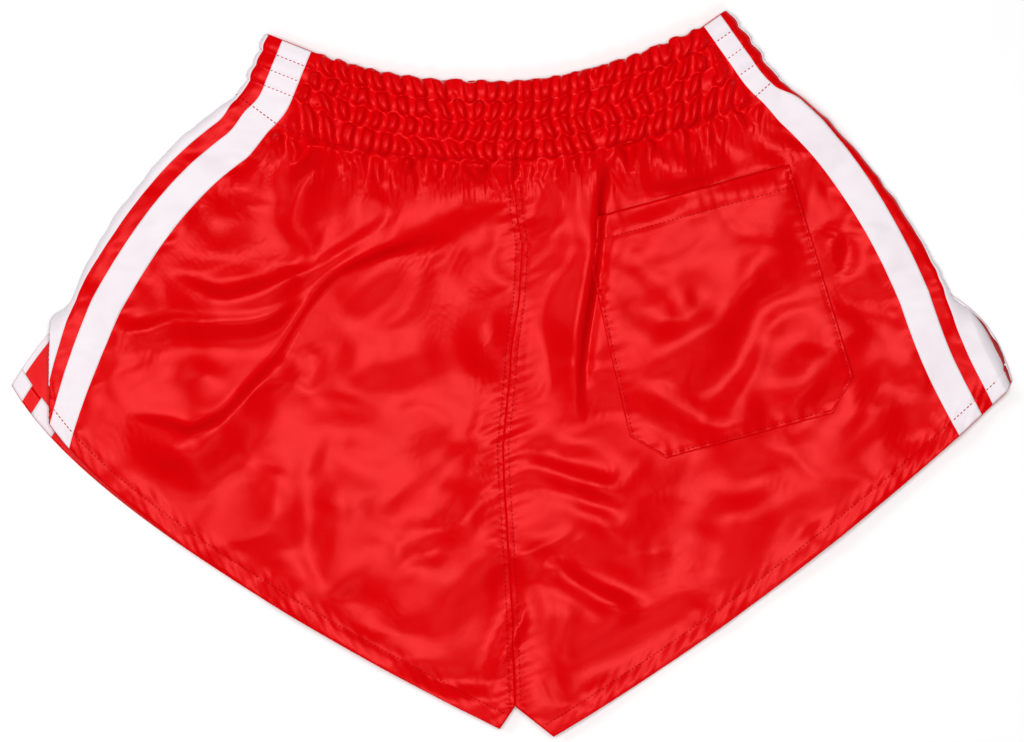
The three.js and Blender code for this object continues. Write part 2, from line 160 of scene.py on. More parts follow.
def bezier(points, t):
    """Points on a Bezier curve of any order, one for each t."""
    level = [np.asarray(p, float)[None, :] for p in points]
    t = np.asarray(t, float)[:, None]
    while len(level) > 1:
        level = [lerp(a, b, t) for a, b in zip(level, level[1:])]
    return level[0]


def read(curve, places, at):
    """Places on a curve, read between its points, which lie at the given places along it."""
    return np.stack([np.interp(at, places, column) for column in curve.T], axis=-1)


def run(curve):
    """How far along a curve each of its points lies, as seen from above."""
    return np.concatenate([[0], np.cumsum(np.hypot(*np.diff(curve[:, :2], axis=0).T))])


def polyline(points, step=2.0):
    """A smooth curve through chosen points, as points about step apart."""
    p = np.asarray(points, float)
    p = np.vstack([2 * p[0] - p[1], p, 2 * p[-1] - p[-2]])
    out = []
    for a, b, c, d in zip(p, p[1:], p[2:], p[3:]):
        n = max(2, int(np.hypot(*(c - b)) / step))
        t = np.linspace(0, 1, n, endpoint=False)[:, None]
        out.append(0.5 * (2 * b + (c - a) * t + (2 * a - 5 * b + 4 * c - d) * t**2
                          + (3 * b - 3 * c + d - a) * t**3))
    return np.vstack(out + [p[-2][None]])


def blur(a, width, axis):
    """A Gaussian blur of a grid along one axis, width in cells."""
    reach = int(3 * width) + 1
    k = np.exp(-0.5 * (np.arange(-reach, reach + 1) / width) ** 2)
    k /= k.sum()
    pad = [(0, 0)] * a.ndim
    pad[axis] = (reach, reach)
    return np.apply_along_axis(lambda r: np.convolve(r, k, "valid"), axis, np.pad(a, pad, mode="edge"))


def soft_noise(shape, cells, seed):
    """Smooth noise on a grid, about -1 to 1, with lumps of a size given in cells for each axis."""
    noise = np.random.default_rng(seed).standard_normal(shape)
    for axis, width in enumerate(cells):
        noise = blur(noise, width, axis)
    return noise / (2.0 * noise.std())


def warped_noise(shape, cells, seed):
    """Soft noise whose lumps are pulled about by slower noise."""
    noise = soft_noise(shape, cells, seed)
    i, j = np.meshgrid(*(np.arange(n) for n in shape), indexing="ij")
    wide = tuple(2.0 * c for c in cells)
    i = i + 2.6 * cells[0] * soft_noise(shape, wide, seed + 50)
    j = j + 2.6 * cells[1] * soft_noise(shape, wide, seed + 60)
    return Field((0, 0), 1.0, noise)(j, i)


class Field:
    """Values on a regular grid, read between its cells."""

    def __init__(self, low, step, values):
        self.low, self.step, self.values = np.asarray(low, float), step, values

    def __call__(self, x, y):
        rows, columns = self.values.shape[:2]
        i = np.clip((np.asarray(y) - self.low[1]) / self.step, 0, rows - 1.001)
        j = np.clip((np.asarray(x) - self.low[0]) / self.step, 0, columns - 1.001)
        i0, j0 = i.astype(int), j.astype(int)
        fi, fj = i - i0, j - j0
        if self.values.ndim == 3:
            fi, fj = fi[..., None], fj[..., None]
        v = self.values
        top = lerp(v[i0, j0], v[i0, j0 + 1], fj)
        return lerp(top, lerp(v[i0 + 1, j0], v[i0 + 1, j0 + 1], fj), fi)


# ---------------------------------------------------------------- the lay of the cloth


def back_height(y):
    fall = np.clip((FLARE_Y - y) / (FLARE_Y - TIP_Y), 0, 1)
    return lerp(BACK_TOP, BACK_FOOT, fall)


def roll_radius(y):
    return (back_height(y) - FRONT_Z) / 2


class Half:
    """One side of the shorts. v is 0 to 1 down the waistband and 1 to 2 from there to the hem."""

    def __init__(self, sign):
        self.sign = sign
        self.m = LANDMARKS[sign]
        m = self.m
        self.v = np.linspace(0, 2, 801)
        band = lerp(np.array(m["waist"], float), np.array(m["band"], float), self.v[:401, None])
        flare = bezier([m["band"], m["bow"], m["foot"]], self.v[401:] - 1)
        xy = np.vstack([band, flare])
        soft = np.stack([blur(xy[:, k], 30.0, 0) for k in range(2)], axis=1)
        ends = smoothstep(np.minimum(self.v, 2 - self.v) / 0.25)[:, None]
        self.xy = lerp(xy, soft, ends)
        tangent = unit(np.gradient(self.xy, axis=0))
        self.normal = np.stack([-tangent[:, 1], tangent[:, 0]], axis=1)
        self.slit_top = 2 - SLIT / self.flare_length()
        t = np.linspace(1, 0, 400)
        self.memo = {}
        self.hem = {}
        for layer, corner in (("back", "corner"), ("front", "front")):
            curve = bezier([m["tip"], m["hem_in"], m["hem_out"], m[corner]], t)
            self.hem[layer] = (run(curve), curve)

    def flare_length(self):
        flare = self.xy[400:]
        return np.hypot(*np.diff(flare, axis=0).T).sum()

    def fold(self, v):
        return read(self.xy, self.v, v)

    def out(self, v):
        """Outwards across the fold. It turns from the band's way to the flare's only below the band."""
        v = v - 0.08 * np.exp(-(((v - 1.03) / 0.13) ** 2))
        return unit(read(self.normal, self.v, v))

    def slit_share(self, v, distance):
        return np.clip(((v - 2) * self.flare_length() + SLIT) / distance, 0, 1)

    def root(self, v):
        """Where the flat of the back layer ends and its roll begins."""
        edge = self.fold(v)
        return edge - self.out(v) * roll_radius(edge[..., 1])[..., None]

    def front_edge(self, v):
        splay = self.slit_share(v, SLIT)[..., None]
        end = np.array([2.0])
        bowed = self.m["gape"] * np.sin(math.pi * splay) * self.out(v)
        return self.root(v) + splay * (self.hem["front"][1][0] - self.root(end)[0]) + bowed

    def hem_point(self, layer, distance):
        length, curve = self.hem[layer]
        return read(curve, length, distance)

    def strip(self, layer, distance, v):
        """A place in the flat at a distance in from the unshifted seam or from the slit edge."""
        end = np.array([2.0])
        if layer == "back":
            root, foot = self.root(v), self.root(end)[0]
            rolled = math.pi * roll_radius(self.fold(v)[..., 1])
            foot_rolled = math.pi * roll_radius(self.fold(end)[0, 1])
        else:
            root, foot = self.front_edge(v), self.hem["front"][1][0]
            rolled = np.zeros_like(v)
            foot_rolled = 0.0
        plain = root + self.out(v) * (rolled - distance)[..., None]
        if layer == "back":
            drawn_in = 0.5 * self.m["gape"] * np.sin(math.pi * self.slit_share(v, SLIT))
            plain = plain - drawn_in[..., None] * self.out(v)
        miss = foot + self.out(end)[0] * (foot_rolled - distance)[..., None]
        share = self.slit_share(v, SLIT)
        pull = (smoothstep(share) if layer == "back" else share)[..., None]
        return plain + pull * (self.hem_point(layer, distance) - miss)

    def round_fold(self, layer, distance, v):
        """Distance round the fold from straight under the start of the roll, outwards and up."""
        m = self.m
        down = np.clip((v - 1) / (self.slit_top - 1), 0, 1)
        settled = smoothstep(down / 0.15)
        shift = lerp(m["band_shift"], m["flare_shift"] * (1 - down ** m["fade"]), settled)
        squeeze = lerp(m["gather"], 1.0, settled)
        return (distance if layer == "back" else -distance) * squeeze - shift

    def fold_place(self, around, v):
        """Points and normals at distances round the fold: on either layer, or on the roll between them."""
        around, v = np.broadcast_arrays(np.asarray(around, float), np.asarray(v, float))
        edge = self.fold(v)
        radius = roll_radius(edge[..., 1])
        length = math.pi * radius
        back = self.strip("back", np.maximum(around, length), v)
        front = self.strip("front", np.maximum(-around, 0), v)
        opened = smoothstep(self.slit_share(v, SLIT_OPENING))
        turn = np.maximum(math.pi * (1 - opened), 0.02)
        angle = turn * np.clip(length - around, 0, length) / length
        bend = length / turn
        settle = np.minimum(1, 2 * radius / (bend * (1 - np.cos(turn))))
        root = self.strip("back", length, v)
        slid = self.strip("back", np.clip(around, 0, length), v)
        reach = np.linalg.norm(slid - root, axis=-1)
        flat_way = np.where(reach[..., None] > 1e-6, unit(slid - root), self.out(v))
        way = unit(lerp(self.out(v), flat_way, opened[..., None]))
        p = root + way * lerp(bend * np.sin(angle), reach, opened)[..., None]
        z = back_height(root[..., 1]) - settle * bend * (1 - np.cos(angle))
        rolled = (around > 0) & (around < length)
        top = around >= length
        xy = np.where(rolled[..., None], p, np.where(top[..., None], back, front))
        z = np.where(rolled, z, np.where(top, back_height(back[..., 1]), FRONT_Z))
        side = np.where(rolled, np.sin(angle), 0.0)
        up = np.where(rolled, np.cos(angle), np.where(top, 1.0, -1.0))
        normal = np.concatenate([way * side[..., None], up[..., None]], axis=-1)
        return np.concatenate([xy, z[..., None]], axis=-1), normal

    def trim(self, layer, distance, v):
        """Points and normals at distances in from the side seam or the slit edge.

        The back's corner is turned under: cloth nearer the slit than the turn lies beneath the rest.
        """
        distance, v = np.broadcast_arrays(np.asarray(distance, float), np.asarray(v, float))
        turn = np.zeros(v.shape)
        if layer == "back":
            turn = self.m["tuck"] * self.slit_share(v, SLIT) ** 2.2
        under = np.maximum(turn - distance, 0)
        moved = distance + 1.85 * under
        points, normals = self.fold_place(self.round_fold(layer, moved, v), v)
        points[..., 2] += 0.07 * turn * np.exp(-(((distance - turn) / 8.0) ** 2))
        points[..., 2] -= TURN_DROP * smoothstep(under / 1.5)
        return points, normals

    def centre(self, v):
        inset = SEAM_GAP / 2
        t = v - 1
        share = np.clip(t / CROTCH_SHARE, 0, 1)
        beyond = np.clip((t - CROTCH_SHARE) / (1 - CROTCH_SHARE), 0, 1)
        y = np.where(v <= 1, WAIST_Y - BAND_HEIGHT * v, lerp(FLARE_Y, CROTCH_Y, share))
        x = lerp(inset, self.m["tip"][0], beyond)
        return np.stack([x, lerp(y, self.m["tip"][1], beyond)], axis=-1)

    def inner_line(self, layer, v):
        d = np.full_like(v, INNER_EDGE)
        return self.strip(layer, np.abs(self.round_fold(layer, d, v)), v)

    def dipping(self, layer, u, v):
        inner, outer = self.centre(v), self.inner_line(layer, v)
        y = lerp(inner[..., 1], outer[..., 1], u ** self.m["dip"])
        return np.stack([lerp(inner[..., 0], outer[..., 0], u), y], axis=-1)

    def inner(self, layer, u, v):
        """Points and normals of the panel inside its trim. u is 0 at the centre seam and 1 at the trim."""
        u, v = np.broadcast_arrays(np.asarray(u, float), np.asarray(v, float))
        zero, one, two = np.zeros_like(u), np.ones_like(u), np.full_like(u, 2.0)
        down_band = np.clip(v, 0, 1)
        band = lerp(self.dipping(layer, u, zero), self.dipping(layer, u, one), down_band[..., None])
        straight = lerp(self.inner_line(layer, zero), self.inner_line(layer, one), down_band[..., None])
        band = band + (u ** 3)[..., None] * (self.inner_line(layer, down_band) - straight)
        w = np.maximum(v, 1.0)
        t = (w - 1)[..., None]
        length = self.hem[layer][0]
        share = np.interp(INNER_EDGE, length, np.linspace(1, 0, len(length)))
        corner = "corner" if layer == "back" else "front"
        keys = [self.m[key] for key in ("tip", "hem_in", "hem_out", corner)]
        bottom = bezier(keys, (u * share).ravel()).reshape(u.shape + (2,))
        down = lerp(self.dipping(layer, u, one), bottom, t)
        across = lerp(self.centre(w), self.inner_line(layer, w), u[..., None])
        corners = lerp(lerp(self.centre(one), self.inner_line(layer, one), u[..., None]),
                       lerp(self.centre(two), self.inner_line(layer, two), u[..., None]), t)
        xy = np.where(v[..., None] <= 1, band, down + across - corners)
        z = back_height(xy[..., 1]) if layer == "back" else np.full(u.shape, FRONT_Z)
        normal = np.zeros(u.shape + (3,))
        normal[..., 2] = 1 if layer == "back" else -1
        return np.concatenate([xy, z[..., None]], axis=-1), normal


HALVES = {"left": Half(-1), "right": Half(1)}

# ---------------------------------------------------------------- gathers of the waistband

GATHER_STEP = 1.35
GATHER_REACH = 150.0
GATHER_WIDTH = 380.0
GATHER_FADE = 13.0
GATHER_TOP = 4.2
ROUNDS = 160
# How much more cloth there is than band, across it and down it.
FULLNESS = 0.33
SLACK = 0.13
# How high the pleats below the band start, over what length they fade and how fast they spread.
PLEAT_HEIGHT = 3.0
PLEAT_FADE = 26.0
PLEAT_SPREAD = 0.003
# Which neighbours hold each other at their distance, as (rows apart, columns apart, stiffness).
GATHER_TIES = [
    (0, 1, 0.9), (1, 0, 0.9), (1, 1, 0.3), (1, -1, 0.3), (0, 2, 0.5), (2, 0, 0.3), (0, 3, 0.35), (0, 4, 0.2)]


def gather_sheet(seed):
    """A flat grid, the same with soft lumps, its pinned rows, and how much longer its cloth is each way."""
    rows = int(GATHER_REACH / GATHER_STEP) + 1
    columns = int(GATHER_WIDTH / GATHER_STEP) + 1
    t = np.arange(rows) * GATHER_STEP
    flat = np.zeros((rows, columns, 3))
    flat[..., 0] = np.arange(columns) * GATHER_STEP
    flat[..., 1] = -t[:, None]
    near = np.min([np.abs(t - k * CHANNEL) for k in range(1, CHANNELS + 1)], axis=0)
    below = np.exp(-np.maximum(t - BAND_HEIGHT, 0) / GATHER_FADE) * np.clip((GATHER_REACH - t) / 60, 0, 1)
    inside = (t < BAND_HEIGHT)[:, None]
    free = smoothstep(near / 3.5)[:, None]
    shape = (rows, columns)
    tucks = 0.6 * soft_noise(shape, (9.0, 2.8), seed) + 0.6 * soft_noise(shape, (3.0, 3.2), seed + 9)
    lumps = np.where(inside, tucks, soft_noise(shape, (13.0, 5.5), seed + 5))
    start = flat.copy()
    start[..., 2] = np.abs(0.9 * lumps * free * below[:, None]) + 0.05
    across = FULLNESS * np.where(inside, 0.35 + 0.65 * free, 0.4) * below[:, None]
    across = across * (1 + 0.5 * soft_noise(shape, (5.0, 8.0), seed + 1))
    down = np.where(inside, SLACK, 0.02 * below[:, None])
    down = down * (1 + 0.4 * soft_noise(shape, (4.0, 6.0), seed + 2))
    return flat, start, near < GATHER_STEP / 2, across, down


def relax(p, di, dj, stiff, across, down):
    """Pulls every pair of points di rows and dj columns apart towards its rest length."""
    rows, columns = p.shape[:2]
    left = slice(max(0, -dj), columns - max(0, dj))
    right = slice(max(0, dj), columns + min(0, dj))
    a, b = p[: rows - di, left], p[di:, right]
    fa, fd = across[: rows - di, left], down[: rows - di, left]
    reach = max(di, abs(dj))
    for odd in range(2):
        if di == 0:
            pick = (slice(None), (np.arange(a.shape[1]) // reach) % 2 == odd)
        else:
            pick = ((np.arange(a.shape[0]) // reach) % 2 == odd, slice(None))
        d = b[pick] - a[pick]
        rest = GATHER_STEP * np.hypot(dj * (1 + fa[pick]), di * (1 + fd[pick]))
        length = np.sqrt((d * d).sum(-1))
        push = (0.5 * stiff * (length - rest) / np.maximum(length, 1e-6))[..., None] * d
        a[pick] += push
        b[pick] -= push


def simulate_gathers(seed, rounds):
    """Displacements of gathered cloth: a grid down the cloth and across it, of (across, down, up).

    The cloth is longer across than the band it is stitched to. Its stitch rows are held down, and between
    them and below the last one it buckles upwards.
    """
    flat, p, pinned, across, down = gather_sheet(seed)
    for k in range(rounds):
        grown = min(1.0, 1.6 * (k + 1) / rounds)
        for di, dj, stiff in GATHER_TIES:
            relax(p, di, dj, stiff, grown * across, grown * down)
        p[..., 2] = np.clip(p[..., 2], 0.0, GATHER_TOP)
        p[pinned, :, 2] *= 0.8
        p[pinned, :, :2] = lerp(p[pinned, :, :2], flat[pinned, :, :2], 0.4)
        p[..., :2] = lerp(p[..., :2], flat[..., :2], 0.01)
        p[-1] = flat[-1]
        p[:, [0, -1], :2] = flat[:, [0, -1], :2]
    moved = p - flat
    from_edge = np.arange(len(p)) * GATHER_STEP
    moved[..., 1] *= np.clip(0.5 + from_edge / 20.0, 0.5, 1.0)[:, None]
    return moved


def pillow(down):
    """How the casing swells between its stitch rows: 0 at a row and 1 a little below halfway."""
    share = (np.clip(down, 0, BAND_HEIGHT - 0.01) / CHANNEL) % 1
    return np.where(down < BAND_HEIGHT, np.sin(math.pi * share ** 1.5) ** 0.8, 0.0)


def gather_fields():
    """One field of gathers for the back and one for the front."""
    rounds = ROUNDS
    return {layer: Field((0.0, 0.0), GATHER_STEP, simulate_gathers(seed, rounds))
            for layer, seed in (("back", 11), ("front", 23))}


# ---------------------------------------------------------------- folds

# Each fold is (width, height, steep, course): a ridge, or a valley if its height is negative, along a course
# in millimetres as seen from above. A steep of more than 0 makes its right-hand side, looking along it, the
# steeper.
FOLDS = [
    # Left: the long pull from the middle of the waistband down to the side, and the roll of cloth below it.
    (8, -2.6, 0, [(-1, 128), (-27, 118), (-52, 108), (-88, 91), (-118, 64), (-143, 34), (-166, 9)]),
    (8, 3.0, 0.9, [(-44, 86), (-64, 82), (-104, 67), (-121, 55), (-137, 34), (-154, 7), (-172, -14),
        (-190, -32), (-211, -41), (-226, -38), (-253, -32)]),
    (6, 2.0, 0.5, [(-66, 112), (-77, 103), (-106, 82), (-130, 67), (-166, 54), (-190, 48), (-211, 55),
        (-228, 63)]),
    (9, -1.8, 0, [(-210, 74), (-182, 67), (-155, 68), (-138, 76)]),
    (6, 1.8, 0.6, [(-118, 66), (-134, 50), (-164, 35), (-199, 32), (-223, 33), (-248, 26), (-268, 24)]),
    (8, -1.8, 0, [(-252, 12), (-215, 17), (-180, 20), (-150, 17), (-134, 6)]),
    (7, 1.2, 0, [(-27, 56), (-21, 38), (-15, 18), (-8, 4)]),
    (9, -2.0, 0, [(-50, 42), (-43, 20), (-32, 0), (-16, -3)]),
    (12, -2.2, 0, [(-120, 32), (-142, -2), (-160, -28), (-178, -50), (-198, -64)]),
    (7, 1.8, 0, [(-252, -46), (-230, -48), (-214, -58), (-199, -76)]),
    # Left: soft pleats below the waistband.
    (6, 1.9, 0, [(-110, 152), (-124, 138), (-136, 122), (-142, 97), (-124, 76)]),
    (7, -1.6, 0, [(-104, 128), (-103, 108), (-95, 96)]),
    (4, 1.4, 0, [(-90, 140), (-84, 122), (-77, 110)]),
    (4, 1.1, 0, [(-71, 136), (-67, 118)]),
    (4, 1.1, 0, [(-48, 142), (-44, 127), (-32, 133)]),
    (7, 1.5, 0, [(-223, 83), (-199, 73), (-174, 77), (-160, 90)]),
    (8, -1.5, 0, [(-212, 110), (-192, 101), (-178, 112)]),
    (7, 1.2, 0, [(-160, 140), (-172, 122), (-196, 118)]),
    # Left: low down, beside the centre seam.
    (9, -2.4, 0, [(-60, -51), (-36, -61), (-16, -69)]),
    (6, 1.4, 0, [(-44, -97), (-30, -94), (-12, -84)]),
    (5, -1.0, 0, [(-34, -107), (-48, -115), (-64, -125)]),
    (8, -1.4, 0, [(-110, -151), (-84, -159)]),
    (5, -1.8, 0, [(-76, -195), (-34, -204), (-5, -204)]),
    (6, -2.4, 0, [(-6, -118), (-1, -147), (-9, -174), (-19, -196)]),
    (5, 2.0, 0.5, [(-17, -200), (-8, -186), (4, -162), (7, -140)]),
    # Right: the crease that laps over the pocket's corner, and the cloth pushed up before it.
    (6, 2.4, 0.9, [(46, -30), (43, -14), (45, 25), (49, 55), (53, 85), (57, 130), (60, 152)]),
    (3, -1.2, 0, [(63, 130), (58, 85), (54, 55), (49, 25), (46, -12)]),
    (9, 1.4, 0, [(18, 128), (27, 100), (22, 60)]),
    # Right: between the waistband and the pocket.
    (7, -2.0, 0, [(75, 148), (67, 130), (79, 116), (112, 121)]),
    (8, 1.6, 0, [(90, 150), (110, 131), (132, 127)]),
    (7, -1.6, 0, [(126, 154), (150, 144), (174, 142)]),
    (6, 1.5, 0, [(150, 166), (172, 150), (198, 142)]),
    (4, -1.6, 0, [(64, 106), (124, 123), (182, 140)]),
    # Right: on and round the pocket.
    (7, 1.15, 0, [(193, 89), (169, 79), (151, 56), (133, 33), (103, 15), (88, -2)]),
    (7, -1.3, 0, [(205, 57), (179, 51), (164, 41), (156, 23), (146, 2), (131, -10), (97, -12)]),
    (4, 0.7, 0, [(212, 46), (184, 41), (168, 28), (160, 4), (142, -22)]),
    (5, 0.8, 0, [(60, 80), (90, 66), (122, 38)]),
    (6, -1.3, 0, [(66, 50), (90, 40), (118, 28)]),
    (5, 0.8, 0, [(72, -6), (108, -20), (146, -42)]),
    (5, -1.3, 0, [(84, -30), (108, -42), (132, -50)]),
    (6, -1.4, 0, [(176, -40), (201, -24), (215, -6)]),
    (4, -0.8, 0, [(188, 20), (216, 17)]),
    (5, -0.9, 0, [(178, 96), (196, 84)]),
    (5, -1.2, 0, [(50, -26), (70, -25), (88, -32)]),
    (5, 1.4, 0, [(210, 93), (214, 70)]),
    (5, -1.4, 0, [(219, 90), (220, 66)]),
    (7, -1.8, 0, [(214, 50), (232, 46), (246, 52)]),
    (7, -1.6, 0, [(232, -14), (250, -9), (264, -17)]),
    (7, -1.8, 0, [(254, -42), (279, -38)]),
    # Right: the drag lines from the centre seam out to the leg.
    (6, -1.9, 0, [(8, -49), (36, -60), (62, -66), (78, -66)]),
    (5, 1.8, 0, [(4, -57), (22, -61), (43, -70), (63, -77), (76, -70)]),
    (5, -1.6, 0, [(10, -70), (34, -80), (58, -88), (76, -98)]),
    (5, 1.8, 0, [(12, -76), (30, -81), (48, -89), (72, -108)]),
    (5, -1.9, 0, [(24, -124), (52, -132), (80, -146), (98, -150)]),
    (5, 1.8, 0, [(8, -121), (32, -130), (65, -149), (88, -158)]),
    (11, -2.0, 0, [(97, -86), (114, -112), (112, -130)]),
    (9, -1.6, 0, [(110, -68), (147, -73), (190, -70)]),
    (8, -2.8, 0, [(136, -152), (87, -178), (24, -208)]),
]
# Where the crease beside the pocket lies, as (sideways, up).
CREASE = np.array([(43, -14), (46, 25), (50, 55), (55, 85), (59, 130)], float)
RELIEF_STEP = 1.5
RELIEF_MARGIN = 20.0
DEEPEST = 5.5
# What the folds' widths and heights above are multiplied by.
FOLD_WIDTH = 1.75
FOLD_HEIGHT = 2.6
# The waviness between the folds, coarse and fine: height, size of a lump in cells, and seed.
WAVES = [(3.4, (9.0, 10.0), 5), (0.65, (3.8, 4.2), 6)]


def nearest(course, px, py):
    """For each place: its distance from a course, its side (below 0 on the right) and how far along it is."""
    best = np.full(px.shape, 1e9)
    side = np.zeros(px.shape)
    along = np.zeros(px.shape)
    span = run(course)
    way = unit(np.gradient(course, axis=0))
    for q, w, s in zip(course, way, span):
        dx, dy = px - q[0], py - q[1]
        d = np.hypot(dx, dy)
        nearer = d < best
        best = np.where(nearer, d, best)
        side = np.where(nearer, dy * w[0] - dx * w[1], side)
        along = np.where(nearer, s, along)
    return best, side, along, span[-1]


def add_fold(height, x, y, fold):
    """Adds one fold to a grid of heights. It fades out at its ends, and runs on by its width there."""
    width, rise, steep, way = fold
    width = FOLD_WIDTH * width
    course = np.asarray(way, float)
    first, last = unit(course[0] - course[1]), unit(course[-1] - course[-2])
    course = polyline(np.vstack([course[0] + width * first, course, course[-1] + width * last]))
    reach = 3.0 * width
    low, high = course.min(0) - reach, course.max(0) + reach
    sub = np.ix_((y > low[1]) & (y < high[1]), (x > low[0]) & (x < high[0]))
    px, py = np.meshgrid(x, y)
    best, side, along, whole = nearest(course, px[sub], py[sub])
    fade = min(4.5 * width, whole / 2)
    end = smoothstep(np.minimum(along, whole - along) / fade)
    stretch = np.where(side < 0, 1 - 0.7 * steep, 1 + 0.6 * steep)
    height[sub] += rise * end * np.exp(-((best / (width * stretch)) ** 2))


def fold_relief():
    """The height of all the large folds over the back, as a field."""
    low = np.array(CAD_BOX[0][:2]) / MM - RELIEF_MARGIN
    high = np.array(CAD_BOX[1][:2]) / MM + RELIEF_MARGIN
    x = np.arange(low[0], high[0], RELIEF_STEP)
    y = np.arange(low[1], high[1], RELIEF_STEP)
    height = np.zeros((len(y), len(x)))
    for fold in FOLDS:
        add_fold(height, x, y, fold)
    waves = sum(size * warped_noise(height.shape, cells, seed) for size, cells, seed in WAVES)
    height = FOLD_HEIGHT * height + waves
    return Field(low, RELIEF_STEP, np.where(height < 0, -DEEPEST * np.tanh(-height / DEEPEST), height))


def underside_relief():
    """Broad soft folds of the front, which rise off the floor."""
    low = np.array(CAD_BOX[0][:2]) / MM
    high = np.array(CAD_BOX[1][:2]) / MM
    shape = tuple(int(n) for n in ((high - low) / 3.0)[::-1] + 2)
    broad, small = soft_noise(shape, (6.0, 10.0), 31), soft_noise(shape, (3, 4), 32)
    return Field(low, 3.0, 1.1 * np.abs(broad) + 0.5 * np.abs(small))


RELIEF = fold_relief()
HEM_LUMPS = Field((0, 0), 2.0, 0.5 + np.abs(soft_noise((8, 300), (1.0, 5.0), 77)))
UNDERSIDE = underside_relief()
PLEATS = Field((-400, 0), 1.5, soft_noise((130, 540), (8.0, 2.3), 51))
SIDE_LUMPS = Field(RELIEF.low, 2.0, soft_noise((380, 500), (1.5, 2.6), 91))
GATHERS = gather_fields()


def pucker(along, across, pitch, reach, seed):
    """Small cross wrinkles beside a line of stitching."""
    rng = np.random.default_rng(seed)
    phase = rng.uniform(0, 6.283, 5)
    turn = sum(1.3 * np.sin(along / (pitch * k * 1.7) + phase[k % 5]) for k in (2, 3, 5))
    wave = np.sin(6.283 * along / pitch + turn)
    swell = 0.65 + 0.35 * np.sin(along / (pitch * 3.3) + phase[1])
    return wave * swell * np.exp(-((across / reach) ** 2))


# ---------------------------------------------------------------- materials


def node(tree, kind, **inputs):
    """A new shader node, with some of its inputs set."""
    made = tree.nodes.new(kind)
    for name, value in inputs.items():
        made.inputs[name].default_value = value
    return made


def cloth_material(name, colours, roughness, specular, tint, sheen, weave, crumple):
    """A woven cloth. colours are its darker and lighter thread; weave and crumple are (scale, strength)."""
    mat = bpy.data.materials.new(name)
    mat.use_nodes = True
    tree = mat.node_tree
    bsdf = tree.nodes["Principled BSDF"]
    where = node(tree, "ShaderNodeTexCoord")
    mottle = node(tree, "ShaderNodeTexNoise", Scale=38.0, Detail=4.0)
    ramp = node(tree, "ShaderNodeValToRGB")
    for stop, colour, place in zip(ramp.color_ramp.elements, colours, (0.3, 0.7)):
        stop.color = (*colour, 1)
        stop.position = place
    rough = node(tree, "ShaderNodeMapRange")
    rough.inputs["To Min"].default_value, rough.inputs["To Max"].default_value = roughness
    threads = node(tree, "ShaderNodeTexWave", Scale=weave[0], Distortion=0.6)
    threads.bands_direction = "DIAGONAL"
    lumps = node(tree, "ShaderNodeTexNoise", Scale=crumple[0], Detail=3.0)
    fine = node(tree, "ShaderNodeBump", Strength=weave[1], Distance=0.0002)
    coarse = node(tree, "ShaderNodeBump", Strength=crumple[1], Distance=0.001)
    for source, out, target, into in (
            (where, "Object", mottle, "Vector"), (mottle, "Fac", ramp, "Fac"),
            (ramp, "Color", bsdf, "Base Color"), (mottle, "Fac", rough, "Value"),
            (rough, "Result", bsdf, "Roughness"), (where, "Object", threads, "Vector"),
            (where, "Object", lumps, "Vector"), (threads, "Fac", fine, "Height"),
            (lumps, "Fac", coarse, "Height"), (fine, "Normal", coarse, "Normal"),
            (coarse, "Normal", bsdf, "Normal")):
        tree.links.new(source.outputs[out], target.inputs[into])
    bsdf.inputs["Specular IOR Level"].default_value = specular
    bsdf.inputs["Specular Tint"].default_value = (*tint, 1)
    bsdf.inputs["Sheen Weight"].default_value = sheen
    return mat


SATIN = cloth_material(
    "satin", ((0.65, 0.0001, 0.0012), (0.69, 0.0003, 0.0020)), (0.24, 0.28), 0.31, (1.0, 0.14, 0.14), 0.0,
    (1400.0, 0.08), (160.0, 0.10))
WHITE_TAPE = cloth_material(
    "white_tape", ((0.83, 0.75, 0.79), (0.87, 0.80, 0.84)), (0.50, 0.60), 0.4, (1, 1, 1), 0.1,
    (900.0, 0.25), (220.0, 0.12))
ELASTIC = cloth_material(
    "elastic", ((0.72, 0.70, 0.66), (0.80, 0.78, 0.74)), (0.8, 0.9), 0.2, (1, 1, 1), 0.2,
    (600.0, 0.6), (300.0, 0.1))
THREAD = cloth_material(
    "thread", ((0.50, 0.0006, 0.004), (0.56, 0.0010, 0.006)), (0.5, 0.6), 0.15, (1, 0.2, 0.2), 0.0,
    (3000.0, 0.4), (500.0, 0.1))

# ---------------------------------------------------------------- meshes


def add_object(name, data):
    made = bpy.data.objects.new(name, data)
    bpy.context.scene.collection.objects.link(made)
    return made


def add_mesh(name, vertices, faces, material, nodes, thick=0.0):
    mesh = bpy.data.meshes.new(name)
    mesh.from_pydata((np.asarray(vertices) * MM).tolist(), [], [tuple(map(int, f)) for f in faces])
    mesh.polygons.foreach_set("use_smooth", [True] * len(mesh.polygons))
    mesh.materials.append(material)
    obj = add_object(name, mesh)
    if thick:
        solid = obj.modifiers.new("thickness", "SOLIDIFY")
        solid.thickness = thick * MM
        solid.offset = 0
    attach(obj, "root")
    if nodes:
        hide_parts(*nodes)
    return obj


def grid_faces(rows, columns, flip=False):
    i, j = np.meshgrid(np.arange(rows - 1), np.arange(columns - 1), indexing="ij")
    a = (i * columns + j).ravel()
    quads = np.stack([a, a + 1, a + columns + 1, a + columns], axis=1)
    return quads[:, ::-1] if flip else quads


def drift(x, y):
    """How the cloth has slid sideways off the straight: the centre seam lies in a shallow bend."""
    course = np.interp(y, SEAM_COURSE[:, 1], SEAM_COURSE[:, 0])
    return course * np.exp(-((x / SEAM_REACH) ** 2))


def below_waist(half, layer, x, y, v):
    """Distance down from the waist edge, where x is outwards from the centre."""
    foot = np.interp(x, *half_top_curve(half, layer))
    return np.where(v <= 1, v * BAND_HEIGHT, BAND_HEIGHT + np.maximum(0, foot - y))


